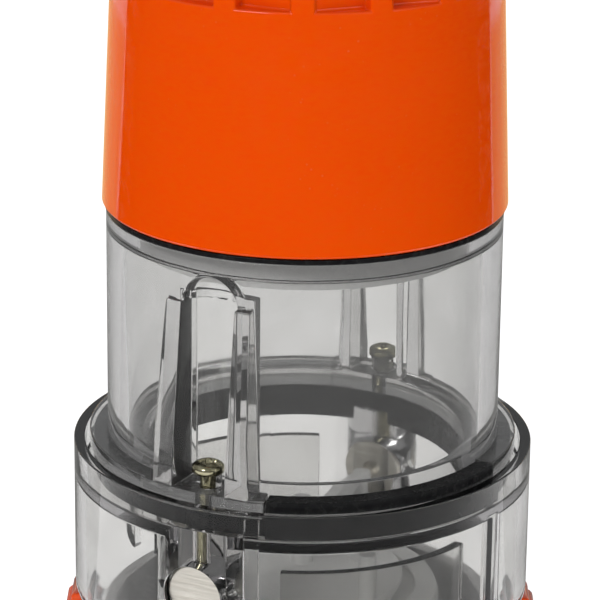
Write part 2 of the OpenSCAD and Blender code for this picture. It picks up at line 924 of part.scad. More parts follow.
// Plate and vanes that turn the flow up past the motor
module diffuser_plate() {
    vane_z = suction_z + suction_t;
    vane_in = impeller_r + 2;
    vane_w = 2.4;
    step = 360 / diffuser_vanes;
    color("dimgray")
        difference() {
            union() {
                translate([0, 0, diffuser_z]) cylinder(r = insert_r, h = diffuser_t);
                for (k = [0:diffuser_vanes - 1])
                    turned(k * step)
                        translate([-vane_w / 2, -insert_r + 0.5, vane_z])
                            cube([vane_w, insert_r - 0.5 - vane_in, diffuser_z - vane_z + 0.5]);
            }
            translate([0, 0, diffuser_z - over])
                cylinder(r = seal_r + seat_fit, h = diffuser_t + 2 * over);
            for (k = [0:diffuser_vanes - 1])
                translate([0, 0, diffuser_z - over])
                    sector(can_r + 2, insert_r - 2, diffuser_t + 2 * over,
                           (k + 0.15) * step, (k + 0.85) * step);
            can_screw_places()
                translate([0, 0, diffuser_z - over])
                    cylinder(r = can_screw_r + fit, h = diffuser_t + 2 * over);
        }
}

module can_screw_places() {
    for (k = [0:2])
        turned(k * 120)
            translate([0, -(can_r - 12), 0])
                children();
}

module can_screws() {
    color("silver")
        can_screw_places()
            translate([0, 0, diffuser_z]) {
                cylinder(r = can_screw_r, h = diffuser_t + can_floor);
                difference() {
                    translate([0, 0, -1.4]) cylinder(r = 2.8, h = 1.4);
                    translate([-2, -0.4, -1.4 - over]) cube([4, 0.8, 0.7 + over]);
                }
            }
}

// Sealed motor
module motor_can() {
    color("gainsboro")
        translate([0, 0, can_z])
            difference() {
                union() {
                    tube(can_r, can_r - can_wall, can_h);
                    cylinder(r = can_r - can_wall + 0.5, h = can_floor);
                    cylinder(r = bearing_r + 3, h = can_floor + 1 + bearing_h);
                }
                translate([0, 0, -over]) cylinder(r = seal_r + seat_fit, h = can_floor + 1 + 2 * over);
                translate([0, 0, can_floor + 1])
                    cylinder(r = bearing_r + fit, h = bearing_h + over);
                translate([0, 0, -can_z])
                    can_screw_places()
                        translate([0, 0, can_z - over])
                            cylinder(r = can_screw_r + press_fit, h = can_floor + over + 0.5);
            }
}

module motor_cover() {
    boss_z = can_top - bearing_h;
    tube_top = roof_under + 2;
    color("gainsboro")
        difference() {
            union() {
                translate([0, 0, can_top]) cylinder(r = can_r, h = cover_t);
                translate([0, 0, can_top - 2]) cylinder(r = can_r - can_wall - seat_fit, h = 2.5);
                translate([0, 0, boss_z]) cylinder(r = bearing_r + 3, h = bearing_h + 0.5);
                translate([0, -gland_y, can_top]) cylinder(r = cable_r + 0.6, h = tube_top - can_top);
            }
            translate([0, 0, boss_z - over])
                cylinder(r = bearing_r + fit, h = bearing_h + over);
            translate([0, -gland_y, can_top - 2 - over])
                cylinder(r = cable_r - 0.6, h = tube_top - can_top + 2 + 2 * over);
        }
}

module shaft_seal() {
    color("black")
        translate([0, 0, diffuser_z - 1])
            tube(seal_r, shaft_r + fit, diffuser_t + can_floor + 1.8);
}

module ball_bearing() {
    color("silver")
        difference() {
            tube(bearing_r, shaft_r + fit, bearing_h);
            for (face = [-over, bearing_h - 0.6])
                translate([0, 0, face])
                    tube(bearing_r - 2, shaft_r + 2, 0.6 + over);
        }
}

module lower_bearing() {
    translate([0, 0, can_z + can_floor + 1]) ball_bearing();
}

module upper_bearing() {
    translate([0, 0, can_top - bearing_h]) ball_bearing();
}

module stator_core() {
    teeth = 12;
    inner = rotor_r + 0.4;
    outer = can_r - can_wall - seat_fit;
    color("slategray")
        translate([0, 0, stack_z])
            difference() {
                tube(outer, inner, stack_h);
                for (k = [0:teeth - 1])
                    rotate([0, 0, k * 360 / teeth]) {
                        translate([(inner + outer) / 2, 0, -over])
                            cylinder(r = 2.6, h = stack_h + 2 * over);
                        translate([inner - 1, -0.8, -over])
                            cube([(outer - inner) / 2, 1.6, stack_h + 2 * over]);
                    }
            }
}

module winding_end() {
    inner = rotor_r + 2.2;
    outer = can_r - can_wall - 2;
    cut = 1.8;
    rotate_extrude()
        polygon([[inner, 0], [outer, 0], [outer, winding_h - cut], [outer - cut, winding_h],
                 [inner + cut, winding_h], [inner, winding_h - cut]]);
}

module stator_windings() {
    color("chocolate") {
        translate([0, 0, stack_z + stack_h]) winding_end();
        translate([0, 0, stack_z]) mirror([0, 0, 1]) winding_end();
    }
}

module rotor_core() {
    color("lightslategray")
        translate([0, 0, stack_z - 1])
            difference() {
                cylinder(r = rotor_r, h = stack_h + 2);
                translate([0, 0, -over]) cylinder(r = shaft_r + press_fit, h = stack_h + 2 + 2 * over);
                for (k = [0:17])
                    rotate([0, 0, k * 20])
                        translate([rotor_r - 2.4, 0, -over])
                            cylinder(r = 1, h = over + 1, $fn = 24);
            }
}

shaft_z = impeller_z - 0.5;
shaft_top = can_top - 0.5;

module motor_shaft() {
    color("silver")
        translate([0, 0, shaft_z]) {
            cylinder(r = shaft_r, h = shaft_top - shaft_z - 0.6);
            translate([0, 0, shaft_top - shaft_z - 0.6])
                cylinder(r1 = shaft_r, r2 = shaft_r - 0.6, h = 0.6);
        }
}

// Closed impeller with its eye underneath
module impeller() {
    shroud = 1.6;
    hub_r = shaft_r + 3;
    arc_r = impeller_r / 2;
    color("darkslategray")
        translate([0, 0, impeller_z])
            difference() {
                union() {
                    tube(impeller_r, eye_r, shroud);
                    translate([0, 0, impeller_h - 2]) cylinder(r = impeller_r, h = 2);
                    translate([0, 0, 3]) cylinder(r = hub_r, h = impeller_h - 3);
                    for (k = [0:vane_count - 1])
                        rotate([0, 0, k * 360 / vane_count])
                            translate([arc_r - 2, 0, shroud / 2])
                                rotate_extrude(angle = 125)
                                    translate([arc_r - 0.8, 0])
                                        square([1.6, impeller_h - shroud / 2 - 1]);
                }
                translate([0, 0, -over]) cylinder(r = shaft_r + press_fit, h = impeller_h + 2 * over);
            }
}

module impeller_nut() {
    h = 6;
    z = impeller_z + 3 - h;
    color("silver")
        translate([0, 0, z])
            difference() {
                hexagon(13, h);
                translate([0, 0, shaft_z - z]) cylinder(r = shaft_r + press_fit, h = h);
            }
}

// Discharge
spout_seal_t = 1.2;
spout_flange_z = roof_z + spout_seal_t;
spout_h = 22;
spout_top = spout_flange_z + spout_h;
spout_wall = 2.9;
spout_tail = 6;
thread_depth = 0.6;
tail_flange = 2.6;
tail_collar = 3.4;

module at_spout() {
    translate([0, spout_y, 0]) children();
}

module spout_seal() {
    color("black")
        at_spout()
            translate([0, 0, roof_z])
                tube(spout_r + 3.2, spout_bore_r + spout_wall + 0.2, spout_seal_t);
}

module discharge_spout() {
    pitch = 2.4;
    color("dimgray")
        at_spout()
            difference() {
                union() {
                    translate([0, 0, roof_under - spout_tail])
                        cylinder(r = spout_bore_r + spout_wall, h = spout_flange_z - roof_under + spout_tail);
                    translate([0, 0, spout_flange_z]) cylinder(r = spout_r + 4, h = 3);
                    translate([0, 0, spout_flange_z])
                        cylinder(r = spout_r - thread_depth, h = spout_top - spout_flange_z);
                    for (k = [0:5])
                        translate([0, 0, spout_top - 1.6 - k * pitch]) {
                            cylinder(r1 = spout_r - thread_depth, r2 = spout_r, h = 0.5);
                            translate([0, 0, 0.5])
                                cylinder(r1 = spout_r, r2 = spout_r - thread_depth, h = 0.5);
                        }
                }
                translate([0, 0, roof_under - spout_tail - over])
                    cylinder(r = spout_bore_r, h = spout_top - roof_under + spout_tail + 2 * over);
            }
}

module spout_locknut() {
    h = 5;
    rim = 3.6;
    color("dimgray")
        at_spout()
            translate([0, 0, roof_under - h])
                difference() {
                    hexagon(2 * (spout_bore_r + spout_wall + rim), h);
                    translate([0, 0, -over])
                        cylinder(r = spout_bore_r + spout_wall + press_fit, h = h + 2 * over);
                }
}

module hose_tail() {
    color("dimgray")
        at_spout()
            translate([0, 0, spout_top + 0.1])
                difference() {
                    union() {
                        cylinder(r = spout_r - 0.8, h = tail_flange);
                        cylinder(r = tail_r - 0.7, h = tail_flange + tail_collar + 0.5);
                        translate([0, 0, tail_flange + tail_collar]) cylinder(r = tail_r, h = tail_len);
                        translate([0, 0, tail_flange + tail_collar + tail_len])
                            cylinder(r1 = tail_r, r2 = tail_r - 0.8, h = 1.6);
                    }
                    translate([0, 0, -over])
                        cylinder(r = tail_r - 2.4, h = tail_flange + tail_collar + tail_len + 4);
                }
}

module union_nut() {
    h = 14;
    lip = 2.4;
    z = spout_top + 0.1 + tail_flange + gap + lip - h;
    nut_out = spout_r + 5;
    color("dimgray")
        at_spout()
            translate([0, 0, z])
                difference() {
                    cylinder(r = nut_out, h = h);
                    translate([0, 0, -over]) cylinder(r = spout_r + gap, h = h - lip + over);
                    translate([0, 0, -over]) cylinder(r = tail_r + gap, h = h + 2 * over);
                    for (k = [0:11])
                        rotate([0, 0, k * 30])
                            translate([nut_out + 1.6, 0, -over])
                                cylinder(r = 2.6, h = h + 2 * over);
                }
}

// Cable gland
gland_h = 13;
gland_top = roof_z + gland_h;
gland_tail = 5;
gland_across = 20;
hex_h = 5;
grommet_h = 7;
grommet_r = gland_r - 1.5;
grommet_z = gland_top - grommet_h + 1;

module at_gland() {
    translate([0, -gland_y, 0]) children();
}

module gland_body() {
    tail_z = roof_under - gland_tail;
    color("dimgray")
        at_gland()
            difference() {
                union() {
                    translate([0, 0, tail_z]) cylinder(r = gland_r, h = gland_top - tail_z);
                    translate([0, 0, roof_z]) hexagon(gland_across, hex_h);
                }
                translate([0, 0, tail_z - over])
                    cylinder(r = cable_r + 1, h = gland_top - tail_z + 2 * over);
                translate([0, 0, grommet_z])
                    cylinder(r = grommet_r + fit, h = grommet_h + over);
            }
}

module gland_locknut() {
    h = 4;
    color("dimgray")
        at_gland()
            translate([0, 0, roof_under - h])
                difference() {
                    hexagon(gland_across, h);
                    translate([0, 0, -over]) cylinder(r = gland_r + press_fit, h = h + 2 * over);
                }
}

module gland_grommet() {
    color("black")
        at_gland()
            translate([0, 0, grommet_z])
                tube(grommet_r, cable_r, grommet_h);
}

module gland_nut() {
    z = roof_z + hex_h + 0.5;
    body_h = 7;
    dome_h = 4;
    dome_r = 9.4;
    dome_in = 5;
    color("dimgray")
        at_gland()
            translate([0, 0, z])
                difference() {
                    union() {
                        hexagon(gland_across - 1, body_h);
                        translate([0, 0, body_h])
                            rotate_extrude()
                                polygon(concat([[0, 0]],
                                    [for (a = [0:15:60]) [dome_in + (dome_r - dome_in) * cos(a),
                                                          dome_h * sin(a) / sin(60)]],
                                    [[0, dome_h]]));
                    }
                    translate([0, 0, -over])
                        cylinder(r = gland_r + fit, h = gland_top + gap - z + over + 1);
                    translate([0, 0, -over])
                        cylinder(r = cable_r + 0.6, h = body_h + dome_h + 2 * over);
                }
}

// Folding carrying handle
bend_r = 12;

module handle_rod() {
    color("silver")
        translate([0, 0, pivot_z])
            for (side = [-1, 1]) {
                translate([side * (lug_x - 1.2), 0, 0])
                    rotate([0, side * 90, 0])
                        cylinder(r = rod_r, h = handle_half - lug_x + 1.2);
                translate([side * handle_half, 0, 0]) sphere(r = rod_r);
                translate([side * handle_half, 0, 0])
                    rotate([-90, 0, 0])
                        cylinder(r = rod_r, h = handle_reach - bend_r);
                translate([side * (handle_half - bend_r), handle_reach - bend_r, 0])
                    rotate([0, 0, side > 0 ? 0 : 90])
                        rotate_extrude(angle = 90)
                            translate([bend_r, 0])
                                circle(r = rod_r);
                translate([0, handle_reach, 0])
                    rotate([0, side * 90, 0])
                        cylinder(r = rod_r, h = handle_half - bend_r);
            }
}

module handle_grip() {
    half = handle_half - bend_r - 4;
    color("black")
        translate([0, handle_reach, pivot_z])
            rotate([0, 90, 0])
                difference() {
                    union() {
                        cylinder(r = grip_r, h = 2 * half, center = true);
                        for (end = [-1, 1])
                            translate([0, 0, end * (half - 1)])
                                cylinder(r = grip_r + 0.8, h = 2, center = true);
                    }
                    cylinder(r = rod_r + press_fit, h = 3 * half, center = true);
                }
}

rubber_feet();
foot_cross();
strainer_base();
strainer_ring();
debris_screen();
latch_pins();
left_latch();
right_latch();
intake_housing();
valve_seat();
valve_guide();
valve_poppet();
barrel_nuts();
flange_gasket();
flange_screws();
clear_chamber();
cap_seal();
motor_cap();
suction_plate();
suction_sleeve();
diffuser_plate();
can_screws();
motor_can();
motor_cover();
shaft_seal();
lower_bearing();
upper_bearing();
stator_core();
stator_windings();
rotor_core();
motor_shaft();
impeller();
impeller_nut();
spout_seal();
discharge_spout();
spout_locknut();
hose_tail();
union_nut();
gland_body();
gland_locknut();
gland_grommet();
gland_nut();
handle_rod();
handle_grip();
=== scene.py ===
# %% [markdown]
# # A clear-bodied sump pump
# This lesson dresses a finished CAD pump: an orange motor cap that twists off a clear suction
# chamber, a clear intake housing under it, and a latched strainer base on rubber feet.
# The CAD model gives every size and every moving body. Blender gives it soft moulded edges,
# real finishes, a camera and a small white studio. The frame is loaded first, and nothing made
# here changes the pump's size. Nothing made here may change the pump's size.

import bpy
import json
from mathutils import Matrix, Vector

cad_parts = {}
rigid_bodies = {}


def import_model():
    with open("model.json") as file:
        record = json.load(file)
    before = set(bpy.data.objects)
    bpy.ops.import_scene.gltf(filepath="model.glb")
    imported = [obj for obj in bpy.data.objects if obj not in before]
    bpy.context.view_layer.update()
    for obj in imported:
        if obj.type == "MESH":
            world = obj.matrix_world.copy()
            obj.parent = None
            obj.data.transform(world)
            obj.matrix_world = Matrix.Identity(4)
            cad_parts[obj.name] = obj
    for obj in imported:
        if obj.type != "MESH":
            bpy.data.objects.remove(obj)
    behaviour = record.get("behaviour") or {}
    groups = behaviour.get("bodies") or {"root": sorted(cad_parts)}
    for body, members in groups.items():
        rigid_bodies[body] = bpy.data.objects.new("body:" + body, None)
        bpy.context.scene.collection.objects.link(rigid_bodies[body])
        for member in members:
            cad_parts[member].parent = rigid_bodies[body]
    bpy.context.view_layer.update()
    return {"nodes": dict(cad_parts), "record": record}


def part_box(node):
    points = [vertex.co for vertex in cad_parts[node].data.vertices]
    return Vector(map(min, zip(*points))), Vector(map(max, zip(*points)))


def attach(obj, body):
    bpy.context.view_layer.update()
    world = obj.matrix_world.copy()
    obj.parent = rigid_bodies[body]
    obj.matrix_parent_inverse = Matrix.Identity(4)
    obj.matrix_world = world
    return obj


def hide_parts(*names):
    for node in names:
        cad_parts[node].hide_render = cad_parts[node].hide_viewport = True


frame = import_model()

# %% [markdown]
# ## Blender's tools
# bpy holds the scene, bmesh shapes meshes, and mathutils has vectors, turns and a search tree.
# Blender measures in metres and the pump is drawn in millimetres, so MM turns the second into
# the first wherever a length is written.

# %% Tools from Blender
import bmesh
import bpy
import json
import math
from mathutils import Matrix, Vector
from mathutils.bvhtree import BVHTree

MM = 0.001
nodes = frame["nodes"]

# %% [markdown]
# ## Camera
# A long lens a little above the pump keeps its walls almost parallel, as in a catalogue.
# It could be aimed with a Track To constraint, but two turns are enough: a tilt down, and a
# very small roll, so that the pump leans by half a degree, as things on a real bench do.

# %% Camera
camera_place = Vector((-1.0, -779.4, 385.3)) * MM
camera_tilt = 18.63
camera_roll = 0.64

camera_data = bpy.data.cameras.new("camera")
camera_data.lens = 194.24
camera_data.sensor_width = 36.0
camera_data.clip_start = 0.05
camera_data.clip_end = 60.0
camera = bpy.data.objects.new("camera", camera_data)
bpy.context.scene.collection.objects.link(camera)
tilt = Matrix.Rotation(math.radians(90 - camera_tilt), 4, "X")
roll = Matrix.Rotation(math.radians(camera_roll), 4, "Z")
camera.matrix_world = Matrix.Translation(camera_place) @ tilt @ roll
bpy.context.scene.camera = camera
bpy.context.scene.view_settings.view_transform = "Standard"
print("lens:", round(camera_data.lens, 2), "mm, looking down by", camera_tilt, "degrees")

# %% [markdown]
# ## Floor
# The pump stands in a small white studio, on a pale floor. A floor is only as bright as the
# lamps make it, and a wide one fades to grey far away. This one also gives off a little light
# of its own, so that it turns evenly white without stronger lamps.

# %% Floor
floor_half = 4.0
floor_glow = 0.62


def floor_paint():
    paint = bpy.data.materials.new("white_floor")
    paint.use_nodes = True
    shader = paint.node_tree.nodes["Principled BSDF"]
    shader.inputs["Base Color"].default_value = (0.86, 0.86, 0.86, 1)
    shader.inputs["Roughness"].default_value = 0.9
    shader.inputs["Emission Color"].default_value = (1, 1, 1, 1)
    shader.inputs["Emission Strength"].default_value = floor_glow
    paint.cycles.emission_sampling = "NONE"
    return paint


floor_bm = bmesh.new()
bmesh.ops.create_grid(floor_bm, x_segments=2, y_segments=2, size=floor_half)
floor_mesh = bpy.data.meshes.new("floor")
floor_bm.to_mesh(floor_mesh)
floor_bm.free()
floor_mesh.materials.append(floor_paint())
floor = bpy.data.objects.new("floor", floor_mesh)
bpy.context.scene.collection.objects.link(floor)
print("floor:", floor.dimensions[:])

# %% [markdown]
# ## Cards
# Glossy walls mirror what stands round them, and an upright wall seen from a little above
# mirrors only the floor. So a studio lays card where the gloss would mirror the white floor,
# and the colour behind the gloss turns deep. A wall mirrors the floor from a distance that
# grows with its height, so rings of card at different distances colour different parts. The
# black fan lies before the cap, the grey fans darken the clear walls, and the two warm ones
# colour the pale strips down the sides of the cap.
#
# A card's paint is a mix of two shaders that Light Path chooses from. Only a first mirror
# reflection meets the glowing one, and every later ray meets a see-through one, so that light
# inside clear plastic doesn't find the cards. Four small helpers wire the nodes together here
# and in every finish below.

# %% Paint for the cards
def link(tree, out_socket, in_socket):
    tree.links.new(out_socket, in_socket)


def add_node(tree, kind, **inputs):
    """A new node of a kind, with plain numbers or colours on the inputs that are named."""
    made = tree.nodes.new(kind)
    for name, value in inputs.items():
        made.inputs[name.replace("_", " ")].default_value = value
    return made


def maths(tree, operation, first, second):
    """A Math node on a socket and a second value, which is a socket or a plain number."""
    made = tree.nodes.new("ShaderNodeMath")
    made.operation = operation
    link(tree, first, made.inputs[0])
    if isinstance(second, float):
        made.inputs[1].default_value = second
    else:
        link(tree, second, made.inputs[1])
    return made.outputs[0]


def mix_shaders(tree, mask, first, second):
    """Show the first shader where the mask is 0 and the second where it is 1."""
    made = tree.nodes.new("ShaderNodeMixShader")
    for place, socket in enumerate((mask, first, second)):
        link(tree, socket, made.inputs[place])
    link(tree, made.outputs[0], tree.nodes["Material Output"].inputs["Surface"])


def card_paint(name, shade):
    paint = bpy.data.materials.new(name)
    paint.use_nodes = True
    paint.cycles.emission_sampling = "NONE"
    tree = paint.node_tree
    front = tree.nodes["Principled BSDF"]
    front.inputs["Base Color"].default_value = (0, 0, 0, 1)
    front.inputs["Specular IOR Level"].default_value = 0.0
    front.inputs["Emission Color"].default_value = (*shade, 1)
    front.inputs["Emission Strength"].default_value = 1.0
    path = tree.nodes.new("ShaderNodeLightPath")
    first = maths(tree, "LESS_THAN", path.outputs["Ray Depth"], 1.5)
    see_through = tree.nodes.new("ShaderNodeBsdfTransparent")
    mix_shaders(tree, first, see_through.outputs[0], front.outputs[0])
    return paint


black = (0.0, 0.0, 0.0)
grey = (0.3, 0.3, 0.29)
warm = (0.95, 0.62, 0.28)
card_shades = {
    "black_card": black,
    "grey_card_left": grey, "grey_card_right": grey,
    "warm_card_left": warm, "warm_card_right": warm,
}
card_paints = {name: card_paint(name, shade) for name, shade in card_shades.items()}
print("card paints:", list(card_paints))

# %% [markdown]
# Each card is a flat fan: a line from its near to its far edge, spun round the pump's axis. It
# could be cut from a disc, but a spin says straight away how far it reaches. The cards are
# seen by mirror reflections alone, so they don't show and throw no shadow.

# %% Cards
card_height = 2 * MM
fan_steps = 48


def card(name, near, far, middle, reach):
    """A fan on the floor, from near to far in metres, reach degrees to each side of middle."""
    bm = bmesh.new()
    start = [bm.verts.new((0, -distance, card_height)) for distance in (near, far)]
    edge = bm.edges.new(start)
    turn = Matrix.Rotation(math.radians(middle - reach), 3, "Z")
    bmesh.ops.rotate(bm, verts=start, cent=(0, 0, 0), matrix=turn)
    bmesh.ops.spin(bm, geom=[*start, edge], cent=(0, 0, 0), axis=(0, 0, 1), dvec=(0, 0, 0),
                   angle=math.radians(2 * reach), steps=fan_steps, use_merge=False)
    bmesh.ops.recalc_face_normals(bm, faces=bm.faces)
    mesh = bpy.data.meshes.new(name)
    bm.to_mesh(mesh)
    bm.free()
    mesh.materials.append(card_paints[name])
    made = bpy.data.objects.new(name, mesh)
    bpy.context.scene.collection.objects.link(made)
    for ray in ("camera", "diffuse", "transmission", "shadow", "volume_scatter"):
        setattr(made, "visible_" + ray, False)
    print(name, "from", near, "to", far, "m")


card("black_card", 0.275, 3.2, 0, 126)
card("grey_card_left", 0.12, 0.50, -144, 36)
card("grey_card_right", 0.12, 0.50, 144, 36)
card("warm_card_left", 0.50, 0.95, -154, 26)
card("warm_card_right", 0.50, 0.95, 154, 26)

# %% [markdown]
# ## Lights
# Four soft lights hang high, where the upright walls don't mirror them: a strong one at the
# left, a weak one at the right, and two small ones behind that find the clear edges. They
# could be sun lamps, but a broad light near the pump gives softer shades across round walls.

# %% Lights
pump_middle = Vector((0, 0, 0.16))


def soft_light(name, place, size, watts):
    """A broad light of size[0] by size[1] metres that looks at the middle of the pump."""
    data = bpy.data.lights.new(name, "AREA")
    data.shape = "RECTANGLE"
    data.size, data.size_y = size
    data.energy = watts
    light = bpy.data.objects.new(name, data)
    light.location = place
    light.rotation_mode = "QUATERNION"
    light.rotation_quaternion = (pump_middle - Vector(place)).to_track_quat("-Z", "Y")
    light.visible_camera = False
    bpy.context.scene.collection.objects.link(light)


soft_light("top_left", (-1.5, -2.2, 1.7), (1.0, 1.0), 34)
soft_light("top_right", (1.9, -1.7, 1.6), (1.0, 1.0), 9)
soft_light("back_left", (-0.44, 1.55, 2.35), (0.5, 0.34), 5)
soft_light("back_right", (0.44, 1.55, 2.35), (0.5, 0.34), 5)
print("lights:", {light.name: light.energy for light in bpy.data.lights})

# %% [markdown]
# ## Air
# The air around is the room that the gloss and the clear plastic see past the floor. It is
# grey, because clear plastic needs something darker than white to draw its edges with.

# %% Air
air_strength = 0.38

air = bpy.data.worlds.new("air")
air.use_nodes = True
bpy.context.scene.world = air
air.node_tree.nodes["Background"].inputs["Color"].default_value = (0.98, 0.99, 1, 1)
air.node_tree.nodes["Background"].inputs["Strength"].default_value = air_strength
print("air strength:", air_strength)

# %% [markdown]
# ## Finishes
# Each finish is one material. What several of them share is a node group, made once and given
# its own numbers in each material. A group only gives out masks and heights, and the shader
# itself stays in the material, where its plain numbers can be read.
#
# ### Grain
# The steel of a mould leaves its own fine grain on every piece. A picture of grain would show
# its seams on round walls, so noise in the piece's own space is used: its height goes to a
# bump, and the same noise, made harder, is a mask for colour and roughness.

# %% Grain
def group(name, inputs, outputs):
    """An empty node group. An input whose value is None carries a place, and others a number."""
    tree = bpy.data.node_groups.new(name, "ShaderNodeTree")
    for socket, value in inputs.items():
        kind = "NodeSocketVector" if value is None else "NodeSocketFloat"
        made = tree.interface.new_socket(socket, in_out="INPUT", socket_type=kind)
        if value is not None:
            made.default_value = value
    for socket in outputs:
        tree.interface.new_socket(socket, in_out="OUTPUT", socket_type="NodeSocketFloat")
    entry = tree.nodes.new("NodeGroupInput")
    leave = tree.nodes.new("NodeGroupOutput")
    return tree, entry, leave


def ramp(tree, value, low, high, out_low=0.0, out_high=1.0):
    """A clamped Map Range from low..high to out_low..out_high."""
    made = add_node(tree, "ShaderNodeMapRange", From_Min=low, From_Max=high, To_Min=out_low,
                    To_Max=out_high)
    made.clamp = True
    link(tree, value, made.inputs["Value"])
    return made.outputs["Result"]


def make_grain():
    inputs = {"Vector": None, "Size": 900.0, "Depth": 1.0}
    tree, entry, leave = group("grain", inputs, ("Height", "Mask"))
    noise = add_node(tree, "ShaderNodeTexNoise", Detail=5.0, Roughness=0.62)
    link(tree, entry.outputs["Vector"], noise.inputs["Vector"])
    link(tree, entry.outputs["Size"], noise.inputs["Scale"])
    height = maths(tree, "MULTIPLY", noise.outputs["Fac"], entry.outputs["Depth"])
    link(tree, height, leave.inputs["Height"])
    link(tree, ramp(tree, noise.outputs["Fac"], 0.35, 0.65), leave.inputs["Mask"])
    return tree


grain_group = make_grain()
print("grain group:", len(grain_group.nodes), "nodes")

# %% [markdown]
# ### Dust and scratches
# A handled pump has specks of dust where the air is still, and hair scratches. A speck is the
# heart of a Voronoi cell, kept only where a slow noise says that dust has settled. A scratch
# is a line along which a twisted noise passes one value: the product of a rising and a
# falling ramp is bright there and nowhere else.

# %% Dust and scratches
def make_dust():
    tree, entry, leave = group("dust", {"Vector": None, "Amount": 0.5}, ("Specks", "Scratches"))
    cells = add_node(tree, "ShaderNodeTexVoronoi", Scale=420.0)
    patches = add_node(tree, "ShaderNodeTexNoise", Scale=70.0, Detail=3.0)
    lines = add_node(tree, "ShaderNodeTexNoise", Scale=34.0, Detail=8.0, Roughness=0.8,
                     Distortion=2.5)
    for texture in (cells, patches, lines):
        link(tree, entry.outputs["Vector"], texture.inputs["Vector"])
    near = ramp(tree, cells.outputs["Distance"], 0.06, 0.16, 1.0, 0.0)
    settled = ramp(tree, patches.outputs["Fac"], 0.52, 0.66)
    speck = maths(tree, "MULTIPLY", near, settled)
    specks = maths(tree, "MULTIPLY", speck, entry.outputs["Amount"])
    link(tree, specks, leave.inputs["Specks"])
    rising = ramp(tree, lines.outputs["Fac"], 0.495, 0.5)
    falling = ramp(tree, lines.outputs["Fac"], 0.5, 0.505, 1.0, 0.0)
    link(tree, maths(tree, "MULTIPLY", rising, falling), leave.inputs["Scratches"])
    return tree


dust_group = make_dust()
print("dust group:", len(dust_group.nodes), "nodes")

# %% [markdown]
# ### Starting a finish
# Every finish begins in the same way: a material whose shader reads a bump, and Object
# coordinates, which stay with a piece when it moves. The finishes are kept under the names of
# the slots that they paint.

# %% Starting a finish
def start_finish(name, bump_strength, bump_depth):
    """A new material with its shader, object coordinates and a bump that waits for a height."""
    paint = bpy.data.materials.new(name)
    paint.use_nodes = True
    tree = paint.node_tree
    shader = tree.nodes["Principled BSDF"]
    place = tree.nodes.new("ShaderNodeTexCoord").outputs["Object"]
    bump = add_node(tree, "ShaderNodeBump", Strength=bump_strength, Distance=bump_depth)
    link(tree, bump.outputs["Normal"], shader.inputs["Normal"])
    return paint, tree, shader, place, bump


finishes = {}
slots = {part["material_slot"] for part in frame["record"]["subparts"]}
print("slots that wait for a finish:", sorted(slots))

# %% [markdown]
# ### Patches and blends
# A finish is laid up as a painter does it: a base colour, patches of a second colour through a
# mask, dust on top. Three helpers do it here: one places a group, one makes a mask of soft
# patches, and one lays a colour over another.

# %% Patches and blends
def add_group(tree, made, place, **inputs):
    """Place a node group that reads the place, with plain numbers on its other inputs."""
    use = tree.nodes.new("ShaderNodeGroup")
    use.node_tree = made
    link(tree, place, use.inputs["Vector"])
    for name, value in inputs.items():
        use.inputs[name].default_value = value
    return use


def noise_mask(tree, place, size, low, high, detail=4.0, stretch=None):
    """Soft patches, finer as size grows; a stretch over 1 narrows them along its axis."""
    if stretch is not None:
        mapping = add_node(tree, "ShaderNodeMapping", Scale=stretch)
        link(tree, place, mapping.inputs["Vector"])
        place = mapping.outputs["Vector"]
    noise = add_node(tree, "ShaderNodeTexNoise", Scale=size, Detail=detail)
    link(tree, place, noise.inputs["Vector"])
    return ramp(tree, noise.outputs["Fac"], low, high)


def blend_colours(tree, mask, first, second):
    """first where the mask is 0 and second where it is 1; either is a colour or a socket."""
    mix = tree.nodes.new("ShaderNodeMix")
    mix.data_type = "RGBA"
    link(tree, mask, mix.inputs["Factor"])
    for name, colour in (("A", first), ("B", second)):
        socket = [s for s in mix.inputs if s.name == name and s.type == "RGBA"][0]
        if isinstance(colour, tuple):
            socket.default_value = (*colour, 1)
        else:
            link(tree, colour, socket)
    return [s for s in mix.outputs if s.type == "RGBA"][0]


print("the finishes share the groups", [tree.name for tree in bpy.data.node_groups])

# %% [markdown]
# ### Orange cap plastic
# The cap is moulded in a glossy orange. The gloss could be one clear number, but a real skin
# is never even: it has a faint orange peel, a cloud of slightly redder colour where the melt
# flowed last, hair scratches from handling and a speck of dust here and there.

# %% Orange plastic
def orange_plastic():
    paint, tree, shader, place, bump = start_finish("orange_plastic", 0.12, 0.12 * MM)
    clouds = noise_mask(tree, place, 22.0, 0.3, 0.7)
    flow = noise_mask(tree, place, 420.0, 0.25, 0.75, 6.0, (1.0, 1.0, 3.0))
    cloudy = blend_colours(tree, clouds, (0.75, 0.050, 0.0), (0.80, 0.062, 0.0))
    base = blend_colours(tree, flow, cloudy, (0.76, 0.072, 0.0))
    dust = add_group(tree, dust_group, place, Amount=0.1)
    dusty = blend_colours(tree, dust.outputs["Specks"], base, (0.62, 0.42, 0.3))
    link(tree, dusty, shader.inputs["Base Color"])
    peel = add_group(tree, grain_group, place, Size=260.0, Depth=1.0)
    rough = ramp(tree, peel.outputs["Mask"], 0.0, 1.0, 0.06, 0.1)
    link(tree, rough, shader.inputs["Roughness"])
    height = maths(tree, "ADD", peel.outputs["Height"], dust.outputs["Scratches"])
    link(tree, height, bump.inputs["Height"])
    shader.inputs["Specular IOR Level"].default_value = 0.3
    shader.inputs["IOR"].default_value = 1.5
    return paint


finishes["orange_plastic"] = orange_plastic()
print("orange plastic:", len(finishes["orange_plastic"].node_tree.nodes), "nodes")

